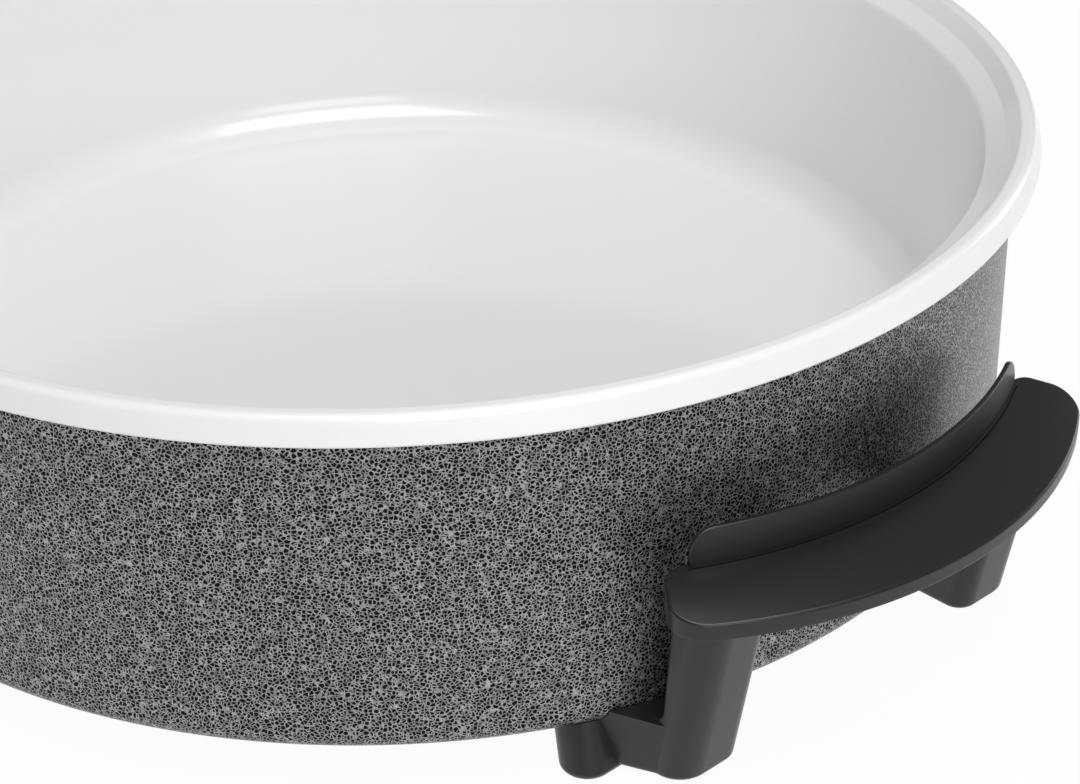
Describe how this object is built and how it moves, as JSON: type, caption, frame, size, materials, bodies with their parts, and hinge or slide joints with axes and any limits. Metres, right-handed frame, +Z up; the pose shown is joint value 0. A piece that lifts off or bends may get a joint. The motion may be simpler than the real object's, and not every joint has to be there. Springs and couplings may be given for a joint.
{
  "type": "electric skillet",
  "caption": "Round electric skillet: white coated bowl in a hammered casing, two black handles with legs, and a plug-in thermostat control with a dial.",
  "frame": {"origin": "on the pan's axis, in the flat underside of the outer casing", "axes": "+X towards the handle without the inlet, +Z up, the inlet and its control on -X"},
  "size_m": [0.5545, 0.4, 0.122],
  "materials": {
    "bowl_white": "glossy white ceramic coating",
    "casing_hammered": "grey vein hammer finish on a dark ground",
    "handle_black": "fine satin mould finish",
    "control_black": "fine satin mould finish",
    "dial_black": "polished mould finish",
    "rubber_black": "matte",
    "seal_grey": "matte silicone",
    "steel": "zinc plated",
    "bright_steel": "nickel plated",
    "spreader_metal": "as cast",
    "heater_steel": "drawn sheath, heat tinted",
    "brass": "plain",
    "ceramic": "unglazed steatite",
    "laminate": "phenolic moulding",
    "lens_red": "clear moulding",
    "lamp_glass": "clear"
  },
  "bodies": {
    "pan": {"inner_pan": "bowl_white", "outer_casing": "casing_hammered", "rim_gasket": "seal_grey", "plain_handle": "handle_black", "inlet_handle": "handle_black", "foot_pads": "rubber_black", "plain_bracket": "steel", "inlet_bracket": "steel", "handle_screws": "bright_steel", "handle_washers": "steel", "heating_element": "heater_steel", "heat_spreader": "spreader_metal", "element_clips": "steel", "heat_shield": "spreader_metal", "casing_screws": "steel", "screw_spacers": "steel", "inlet_block": "ceramic", "contact_pins": "bright_steel", "earth_blade": "brass", "probe_guide": "bright_steel", "inlet_shroud": "handle_black", "shroud_screws": "steel"},
    "control": {"control_base": "control_black", "control_cover": "control_black", "contact_sleeves": "brass", "sleeve_block": "laminate", "probe_bush": "brass", "probe_rod": "bright_steel", "thermostat_frame": "steel", "insulating_stack": "ceramic", "bimetal_blade": "brass", "contact_blade": "brass", "lamp_lens": "lens_red", "neon_lamp": "lamp_glass", "cord_gland": "rubber_black", "control_screws": "steel"},
    "dial": {"temperature_dial": "dial_black", "dial_shaft": "steel", "dial_cam": "laminate"}
  },
  "joints": [
    {"name": "control_pull", "type": "slide", "parent": "pan", "child": "control", "axis": [-1, 0, 0], "range_m": [0, 0.085]},
    {"name": "dial_turn", "type": "hinge", "parent": "control", "child": "dial", "pos_m": [-0.2625, 0, 0.037], "axis": [0, 0, 1], "range_deg": [0, 270]}
  ]
}
